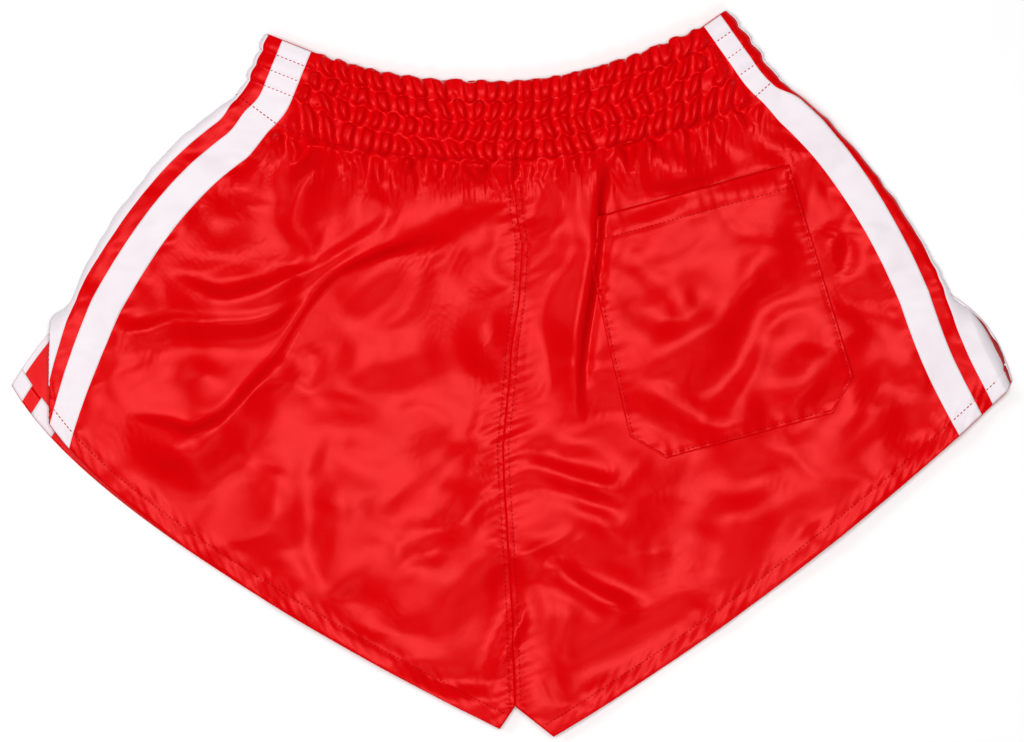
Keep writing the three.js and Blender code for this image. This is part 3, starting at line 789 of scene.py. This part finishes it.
def wrinkled(half, layer, points, normals, v, lift=0.0, inwards=0.0):
    """Moves places on a layer as the cloth there is wrinkled.

    inwards is 0 on the outer ply and 1 on the inner one, which wrinkles the other way.
    """
    x, y = points[..., 0], points[..., 1]
    sx = x * half.sign
    p, n = points.copy(), normals.copy()
    p[..., 0] = sx
    n[..., 0] *= half.sign
    up = np.clip(n[..., 2] if layer == "back" else -n[..., 2], 0, 1)
    down = below_waist(half, layer, x, y, v)
    trim_x = np.interp(np.clip(v, 0, 2), np.linspace(0, 2, 81), half.trim_edge[layer])
    calm = 1 - smoothstep((x - trim_x + 8.0) / 10.0)
    gather = GATHERS[layer](sx + GATHER_WIDTH / 2, down)
    rise = gather[..., 2] * calm + pillow(down) * (lerp(1.2, 1.5, calm) + 0.8 * (1 - up))
    if layer == "front":
        rise = FRONT_PUFF * rise - FRONT_SUNK * (down < BAND_HEIGHT + 10)
        rise = rise - up * calm * UNDERSIDE(sx, y) * smoothstep((down - BAND_HEIGHT) / 30.0)
    else:
        below = smoothstep((down - BAND_HEIGHT + 4.0) / 22.0)
        edge = 1 - 0.65 * smoothstep((x - trim_x - 4.0) / 20.0)
        rise = rise + RELIEF(sx, y) * below * up * edge
    rise = rise + fine_wrinkles(half, layer, x, y, down) * up
    if layer == "back":
        rise = rise + SIDE_LUMP * (1 - calm) * SIDE_LUMPS(sx, y) + pleats(sx, down) * calm
    p[..., :2] += gather[..., :2] * calm[..., None]
    p[..., 0] += drift(sx, y)
    outer, inner = rise + lift, -CASING_DEPTH - 0.4 * rise
    p += n * lerp(outer, inner, inwards)[..., None]
    resting = np.where(np.greater(lift, 0), TAPE / 2, TAPE + CLOTH / 2 + 0.1)
    p[..., 2] = np.maximum(p[..., 2], resting)
    return p, n


def half_top_curve(half, layer):
    """The foot of the waistband, as y over x."""
    key = ("foot", layer)
    if key not in half.memo:
        u = np.linspace(0, 1, 60)
        q = half.dipping(layer, u, np.ones_like(u))
        w = half.fold(np.linspace(1, 2, 60))
        x = np.concatenate([q[:, 0], w[:, 0]])
        y = np.concatenate([q[:, 1], w[:, 1]])
        order = np.argsort(x)
        half.memo[key] = (x[order], y[order])
    return half.memo[key]


def hem_distance(half, layer, x, y):
    """How far a place is above the hem, and how far along the hem from its outer corner."""
    key = ("hem", layer)
    if key not in half.memo:
        length, curve = half.hem[layer]
        order = np.argsort(curve[:, 0])
        slope = np.abs(np.gradient(curve[order, 1], curve[order, 0]))
        half.memo[key] = (curve[order, 0], curve[order, 1], 1 / np.hypot(1, slope), length[order])
    cx, cy, shrink, length = half.memo[key]
    return (y - np.interp(x, cx, cy)) * np.interp(x, cx, shrink), np.interp(x, cx, length)


def pleats(sx, down):
    """The soft pleats that run on below the waistband and spread as the cloth flares."""
    below = np.maximum(down - BAND_HEIGHT, 0)
    size = smoothstep((down - BAND_HEIGHT + 2) / 6) * np.exp(-below / PLEAT_FADE)
    return PLEAT_HEIGHT * PLEATS(sx / (1 + PLEAT_SPREAD * below), below) * size


def fine_wrinkles(half, layer, x, y, down):
    """Puckers beside the seams and along the hem."""
    beside = smoothstep((down - BAND_HEIGHT) / 10)
    close = 0.6 * pucker(y + 0.3 * x * half.sign, x, 4.8, 5.0, 3)
    wide = 0.35 * pucker(y - 0.4 * x * half.sign, x, 8.5, 13.0, 4)
    seam = (close + wide) * beside
    above, along = hem_distance(half, layer, x, y)
    inside = smoothstep(above / 2.0) * (1 - smoothstep((above - HEM + 1.0) / 9.0))
    slanted = along + 0.9 * above
    hem = 0.22 * pucker(slanted, 0.0, 11.0, 1.0, 7 + half.sign) * inside
    hem = hem * (0.5 + HEM_LUMPS(along, 0.0)) + 1.0 * (HEM_LUMPS(along * 0.6, 3.0) - 0.5) * inside
    groove = -0.30 * np.exp(-(((above - HEM + 1.8) / 1.6) ** 2))
    size = 1.0 if layer == "back" else 0.4
    joint = -0.12 * np.exp(-((x / 1.2) ** 2)) - 0.12 * np.exp(-(((x - CENTRE_STITCH) / 1.2) ** 2))
    return (seam + hem + groove + joint) * size


def trim_edges():
    for half in HALVES.values():
        half.trim_edge = {}
        v = np.linspace(0, 2, 81)
        for layer in ("back", "front"):
            half.trim_edge[layer] = half.inner_line(layer, v)[:, 0]


trim_edges()


def panel_rows(fine):
    """Rows down a panel, inner ply, turn at the waist, outer ply: each is v and its share of the way in."""
    step = 1.2 if fine else 2.6
    band = np.linspace(0, 1, int(BAND_HEIGHT / step) + 1)
    flare = np.linspace(1, 2, int(380 / (1.8 if fine else 4.0)))[1:-1]
    radius = CASING_DEPTH / 2
    angles = np.linspace(0, math.pi, 8)
    turn = [(radius * (1 - math.sin(a)) / BAND_HEIGHT, (1 + math.cos(a)) / 2) for a in angles]
    rows = [(t, 1.0) for t in band[:2:-1]] + turn + [(t, 0.0) for t in band[2:]] + [(t, 0.0) for t in flare]
    return np.array(rows)


def panel(name, half, layer, fine):
    u = np.linspace(0, 1, int(260 / (1.3 if fine else 2.8)))
    distances = np.concatenate([
        np.linspace(INNER_EDGE, STRIPE_EDGE, 15 if fine else 8)[1:],
        np.linspace(STRIPE_EDGE, 0.0, 19 if fine else 10)[1:],
    ])
    rows = panel_rows(fine)
    points, normals = panel_places(half, layer, u, distances, rows[:, 0])
    v = np.broadcast_to(rows[:, :1], points.shape[:2])
    moved, _ = wrinkled(half, layer, points, normals, v, inwards=rows[:, 1:])
    hem_v, hem_out = hem_rows(half, layer, u, distances)
    points, normals = panel_places(half, layer, u, distances, hem_v)
    turned, n = wrinkled(half, layer, points, normals, hem_v)
    moved = np.concatenate([moved, turned + n * hem_out[..., None]])
    faces = grid_faces(*moved.shape[:2], flip=(half.sign > 0) == (layer == "back"))
    outer = moved[: len(rows)][rows[:, 1] == 0]
    return add_mesh(name, moved.reshape(-1, 3), faces, SATIN, [name], thick=CLOTH), outer


def panel_places(half, layer, u, distances, v):
    if v.ndim == 1:
        v = np.broadcast_to(v[:, None], (len(v), len(u) + len(distances)))
    a, an = half.inner(layer, np.broadcast_to(u[None], (len(v), len(u))), v[:, : len(u)])
    b, bn = half.trim(layer, np.broadcast_to(distances[None], (len(v), len(distances))), v[:, len(u):])
    return np.concatenate([a, b], axis=1), np.concatenate([an, bn], axis=1)


def hem_spacing(half, layer, u, distances):
    """Millimetres of cloth for each unit of v at the hem, for each column."""
    step = 0.02
    v = np.full((2, len(u) + len(distances)), 2.0)
    v[0] -= step
    ends, _ = panel_places(half, layer, u, distances, v)
    return np.linalg.norm(ends[1] - ends[0], axis=-1) / step


def hem_rows(half, layer, u, distances):
    """The turn at the hem and its inner ply, as v and depth for each row and column."""
    per_v = np.maximum(hem_spacing(half, layer, u, distances), LEAST_SPACING)
    r = HEM_DEPTH / 2
    rows = [(r * (1 - math.sin(a)), -r * (1 - math.cos(a))) for a in np.linspace(0, math.pi, 6)]
    rows += [(d, -HEM_DEPTH) for d in np.linspace(1.5, HEM, 6)]
    v = np.stack([2 - d / per_v for d, _ in rows])
    out = np.stack([np.full(len(per_v), o) for _, o in rows])
    return v, out


def tape_grid(half, layer, distances, v, lift):
    """A strip of tape on a layer; a negative lift puts it on the layer's inner side."""
    vv = np.broadcast_to(v[:, None] if v.ndim == 1 else v, (len(v), len(distances)))
    points, normals = half.trim(layer, np.broadcast_to(distances, vv.shape), vv)
    moved, _ = wrinkled(half, layer, points, normals, vv, lift=lift)
    return moved


def turned_tapes(half, start, end):
    """What shows of the front's tapes from inside: turned in along the slit and up with the hem."""
    hem_d = np.linspace(start, end, 8)
    per_v = hem_spacing(half, "front", np.zeros(1), hem_d)[1:]
    up = np.linspace(HEM + 1.0, 0.2, 7)[:, None]
    grids = [tape_grid(half, "front", hem_d, 2 - up / per_v, -(HEM_DEPTH + CLOTH + 0.3))]
    if end <= EDGE_TAPE:
        v = np.linspace(half.slit_top + 0.01, 1.998, 40)
        grids.append(tape_grid(half, "front", np.linspace(0.1, SLIT_TURN, 6), v, -(CLOTH + 0.2)))
    return grids


def tape_piece(name, half, layer, start, end, lift):
    v = np.concatenate([np.linspace(0.5 / BAND_HEIGHT, 1, 42), np.linspace(1, 1.999, 200)[1:]])
    grids = [tape_grid(half, layer, np.linspace(start, end, 16), v, lift)]
    if layer == "front":
        grids += turned_tapes(half, min(start, end) + 0.1, max(start, end))
    vertices, faces = [], []
    for k, grid in enumerate(grids):
        base = sum(len(part) for part in vertices)
        vertices.append(grid.reshape(-1, 3))
        inside_out = (k > 0) != ((half.sign > 0) == (layer == "back"))
        faces.append(grid_faces(*grid.shape[:2], flip=inside_out) + base)
    return add_mesh(name, np.vstack(vertices), np.vstack(faces), WHITE_TAPE, [name], thick=TAPE)


TOPS = []


def make_panels():
    pieces = {}
    lift = CLOTH / 2 + TAPE / 2 + 0.05
    for side, half in HALVES.items():
        for layer in ("back", "front"):
            name = f"{layer}_{side}"
            pieces[name], places = panel(f"{name}_panel", half, layer, fine=layer == "back")
            if layer == "back":
                TOPS.append(places.reshape(-1, 3))
            pieces[name + "_stripe"] = tape_piece(
                f"{name}_stripe", half, layer, STRIPE_EDGE + STRIPE, STRIPE_EDGE, lift)
            pieces[name + "_edge"] = tape_piece(f"{name}_edge_tape", half, layer, EDGE_TAPE, 0.0, lift)
    return pieces


PIECES = make_panels()


def declare_sheets():
    """Goes over each piece of cloth and does nothing with it."""
    for name, piece in PIECES.items():
        if name.endswith("stripe"):
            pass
        elif name.endswith("edge"):
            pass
        else:
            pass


declare_sheets()

# ---------------------------------------------------------------- what lies on the panels


def top_surface():
    """The height of the back's cloth as a field, from the panels' own places."""
    places = np.vstack(TOPS)
    low = places[:, :2].min(0) - 5
    step = 1.5
    shape = tuple(int(k) for k in ((places[:, :2].max(0) + 5 - low) / step)[::-1] + 1)
    j, i = ((places[:, :2] - low) / step).round().astype(int).T
    high = np.full(shape, -1.0)
    np.maximum.at(high, (i, j), places[:, 2])
    known = (high > 0).astype(float)
    total = blur(blur(high * known, 0.8, 0), 0.8, 1)
    return Field(low, step, total / np.maximum(blur(blur(known, 0.8, 0), 0.8, 1), 1e-3))


TOP = top_surface()


def pocket_place(across, down):
    """Where a point of the pocket lies on the back: across from its middle line and down from its mouth."""
    cos, sin = math.cos(POCKET_TILT), math.sin(POCKET_TILT)
    x = POCKET_MOUTH[0] + across * cos + down * sin
    y = POCKET_MOUTH[1] + across * sin - down * cos
    return x + drift(x, y), y


def pocket_half_width(down):
    return lerp(POCKET_WIDTHS[0], POCKET_WIDTHS[1], down / POCKET_DEPTH) / 2 - np.maximum(
        0, down - (POCKET_DEPTH - POCKET_BEVEL))


def pocket_height(across, down):
    """The pocket's outer face above the panel's cloth: loose in the middle, standing off at its mouth."""
    side = pocket_half_width(down) - np.abs(across)
    edge = np.minimum(side, POCKET_DEPTH - down)
    x, y = pocket_place(across, down)
    under = 1 - smoothstep((x - np.interp(y, CREASE[:, 1], CREASE[:, 0]) + 0.5) / 1.5)
    sewn = smoothstep(edge / 14.0)
    mouth = np.exp(-down / 16.0) * smoothstep(side / 25.0)
    along = np.where(edge < POCKET_DEPTH - down - 0.01, down, across + 300)
    tucks = 0.45 * pucker(along, edge, 9.0, 8.0, 17)
    hem = 0.25 * pucker(across, down - 8.0, 8.0, 7.0, 19) - 0.35 * np.exp(-(((down - POCKET_HEM) / 1.3) ** 2))
    groove = -0.3 * np.exp(-(((edge - 2.5) / 1.2) ** 2))
    return CLOTH + 0.15 + 0.7 * sewn + 2.2 * mouth + tucks + hem + groove - 2.5 * under


def pocket():
    rows = np.concatenate([[0.0], np.linspace(0.0, POCKET_DEPTH, 118)])
    share = np.linspace(-1, 1, 110)
    down = np.broadcast_to(rows[:, None], (len(rows), len(share)))
    across = share[None] * pocket_half_width(down)
    x, y = pocket_place(across, down)
    z = TOP(x, y) + pocket_height(across, down)
    z[0] -= 1.3
    grid = np.stack([x, y, z], axis=-1)
    lip = grid[1:2] + np.array([0.5 * math.sin(POCKET_TILT), -0.5 * math.cos(POCKET_TILT), 0]) * -0.6
    lip[..., 2] -= 0.4
    grid = np.concatenate([grid[:1], lip, grid[1:]])
    grid[0, :, :2] = grid[4, :, :2]
    faces = grid_faces(*grid.shape[:2], flip=True)
    return add_mesh("back_pocket", grid.reshape(-1, 3), faces, SATIN, ["back_pocket"], thick=CLOTH)


def dash_mesh(lines):
    """Stitches along lines of points: each is a short rounded bar that dips into the cloth at its ends."""
    ring = np.linspace(0, 2 * math.pi, 7)[:-1]
    vertices, faces = [], []
    for line in lines:
        s = run(line)
        for middle in np.arange(STITCH_PITCH / 2, s[-1], STITCH_PITCH):
            base = len(vertices)
            for along, girth, sink in STITCH_SHAPE:
                here = middle + along * STITCH_LENGTH
                at = read(line, s, here)
                way = unit(read(line, s, here + 0.3) - at + 1e-6)
                side = unit(np.cross(way, (0, 0, 1.0)))
                over = np.cross(side, way)
                for a in ring:
                    offset = girth * STITCH_RADIUS * (side * math.cos(a) + over * math.sin(a))
                    vertices.append(at + offset + np.array([0, 0, sink]))
            for k in range(len(STITCH_SHAPE) - 1):
                for i in range(6):
                    a, b = base + 6 * k + i, base + 6 * k + (i + 1) % 6
                    faces.append((a, b, b + 6, a + 6))
            faces.append(tuple(base + i for i in range(5, -1, -1)))
            faces.append(tuple(base + 24 + i for i in range(6)))
    return np.array(vertices), faces


def stitches(name, lines):
    vertices, faces = dash_mesh(lines)
    return add_mesh(name, vertices, faces, THREAD, [name])


def stitch_lift(d):
    """How high stitches lie at distances in from the side: higher where they cross a tape or a stripe."""
    taped = ((d < STRIPE_EDGE + STRIPE) & (d > STRIPE_EDGE)) | (d < EDGE_TAPE)
    return STITCH_LIFT + np.where(taped, TAPE + 0.05, 0)


def waist_row(half, k):
    """The course of a waist stitch row over one half, from the centre to the fold."""
    v0 = k * CHANNEL / BAND_HEIGHT
    u = np.linspace(0, 1, 160)
    v = np.full_like(u, v0)
    a = wrinkled(half, "back", *half.inner("back", u, v), v, lift=STITCH_LIFT)[0]
    d = np.linspace(INNER_EDGE, 2.0, 60)[1:]
    v = np.full_like(d, v0)
    b = wrinkled(half, "back", *half.trim("back", d, v), v, lift=stitch_lift(d))[0]
    return np.vstack([a, b])


def waist_rows():
    for k in range(1, CHANNELS + 1):
        shift = -1.2 if k == CHANNELS else 0
        left, right = (waist_row(HALVES[side], k + shift / CHANNEL) for side in ("left", "right"))
        line = np.vstack([left[::-1], right])
        line[:, :2] = blur(line[:, :2], 1.5, 0)
        stitches(f"waist_stitch_{k}", [line])


def seam_rows():
    for side, half in HALVES.items():
        v = np.linspace(1.005, 1 + CROTCH_SHARE, 240)
        width = half.inner_line("back", v)[:, 0]
        u = CENTRE_STITCH / width
        line = wrinkled(half, "back", *half.inner("back", u, v), v, lift=STITCH_LIFT)[0]
        stitches(f"centre_seam_stitch_{side}", [line])


def hem_rows_of_stitches():
    for side, half in HALVES.items():
        u = np.linspace(0.01, 1, 260)
        over_stripe = np.linspace(INNER_EDGE, STRIPE_EDGE, 14)[1:]
        d = np.concatenate([over_stripe, np.linspace(STRIPE_EDGE, 4.0, 12)[1:]])
        per_v = np.maximum(hem_spacing(half, "back", u, d), LEAST_SPACING)
        v = (2 - (HEM - HEM_STITCH) / per_v)[None]
        points, normals = panel_places(half, "back", u, d, v)
        lift = np.concatenate([np.full(len(u), STITCH_LIFT), stitch_lift(d)])[None]
        line = wrinkled(half, "back", points, normals, v, lift=lift)[0][0]
        stitches(f"back_{side}_hem_stitch", [line])


def pocket_stitches():
    inset = 2.5
    down = np.linspace(0.5, POCKET_DEPTH - POCKET_BEVEL, 90)
    side = pocket_half_width(down) - inset
    bevel = np.linspace(POCKET_DEPTH - POCKET_BEVEL, POCKET_DEPTH - inset, 14)[1:]
    corner = pocket_half_width(bevel) - inset * 0.8
    foot = np.linspace(corner[-1], -corner[-1], 80)
    across = np.concatenate([side, corner, foot[1:-1], -corner[::-1], -side[::-1]])
    d = np.concatenate([down, bevel, np.full(len(foot) - 2, POCKET_DEPTH - inset), bevel[::-1], down[::-1]])
    half_hem = pocket_half_width(POCKET_HEM) - inset
    hem = np.linspace(-half_hem, half_hem, 90)
    lines = []
    for a, b in ((across, d), (hem, np.full(90, POCKET_HEM))):
        x, y = pocket_place(a, b)
        lines.append(np.stack([x, y, TOP(x, y) + pocket_height(a, b) + STITCH_LIFT], axis=-1))
    stitches("back_pocket_stitch", lines)


pocket()
waist_rows()
seam_rows()
hem_rows_of_stitches()
pocket_stitches()
for k in range(1, CHANNELS + 1):
    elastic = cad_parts[f"waist_elastic_{k}"]
    elastic.data.materials.clear()
    elastic.data.materials.append(ELASTIC)

# ---------------------------------------------------------------- stage

# The camera looks straight down and sees this width of the floor, in metres.
VIEW_WIDTH = 0.6758
LENS = 160.0
# Half the floor's side, in metres, and how the floor looks.
FLOOR = 6.0
FLOOR_LOOK = {"Base Color": (0.96, 0.96, 0.96, 1), "Roughness": 0.9, "Specular IOR Level": 0.1}
# Each lamp: its name, place, size in metres and power. The first is the broad softbox overhead that the
# satin mirrors where it lies flat.
LAMPS = [
    ("softbox", (-0.05, 0.14, 2.6), (1.25, 0.95), 52.0),
    ("fill", (0.30, -1.1, 1.9), (0.6, 0.6), 6.0),
    ("side", (-1.3, 0.5, 1.6), (0.6, 0.6), 6.0),
]


def add_camera():
    data = bpy.data.cameras.new("camera")
    data.lens = LENS
    data.clip_end = 50
    camera = add_object("camera", data)
    distance = LENS / data.sensor_width * VIEW_WIDTH
    camera.location = (0.0, 0.0013, distance + 0.010)
    bpy.context.scene.camera = camera


def add_floor():
    mesh = bpy.data.meshes.new("floor")
    corners = [(-FLOOR, -FLOOR, 0), (FLOOR, -FLOOR, 0), (FLOOR, FLOOR, 0), (-FLOOR, FLOOR, 0)]
    mesh.from_pydata(corners, [], [(0, 1, 2, 3)])
    mat = bpy.data.materials.new("floor")
    mat.use_nodes = True
    for name, value in FLOOR_LOOK.items():
        mat.node_tree.nodes["Principled BSDF"].inputs[name].default_value = value
    mesh.materials.append(mat)
    floor = add_object("floor", mesh)
    floor.location.z = -0.0002


def add_light():
    for name, place, size, power in LAMPS:
        lamp = bpy.data.lights.new(name, "AREA")
        lamp.shape = "RECTANGLE"
        lamp.size, lamp.size_y = size
        lamp.energy = power
        holder = add_object(name, lamp)
        holder.location = place
        holder.rotation_euler = (-Vector(place)).to_track_quat("-Z", "Y").to_euler()
        holder.visible_camera = False
    world = bpy.data.worlds.new("world")
    world.use_nodes = True
    world.node_tree.nodes["Background"].inputs["Color"].default_value = (1, 1, 1, 1)
    world.node_tree.nodes["Background"].inputs["Strength"].default_value = 0.16
    bpy.context.scene.world = world
    bpy.context.scene.view_settings.view_transform = "Standard"


add_camera()
add_floor()
add_light()
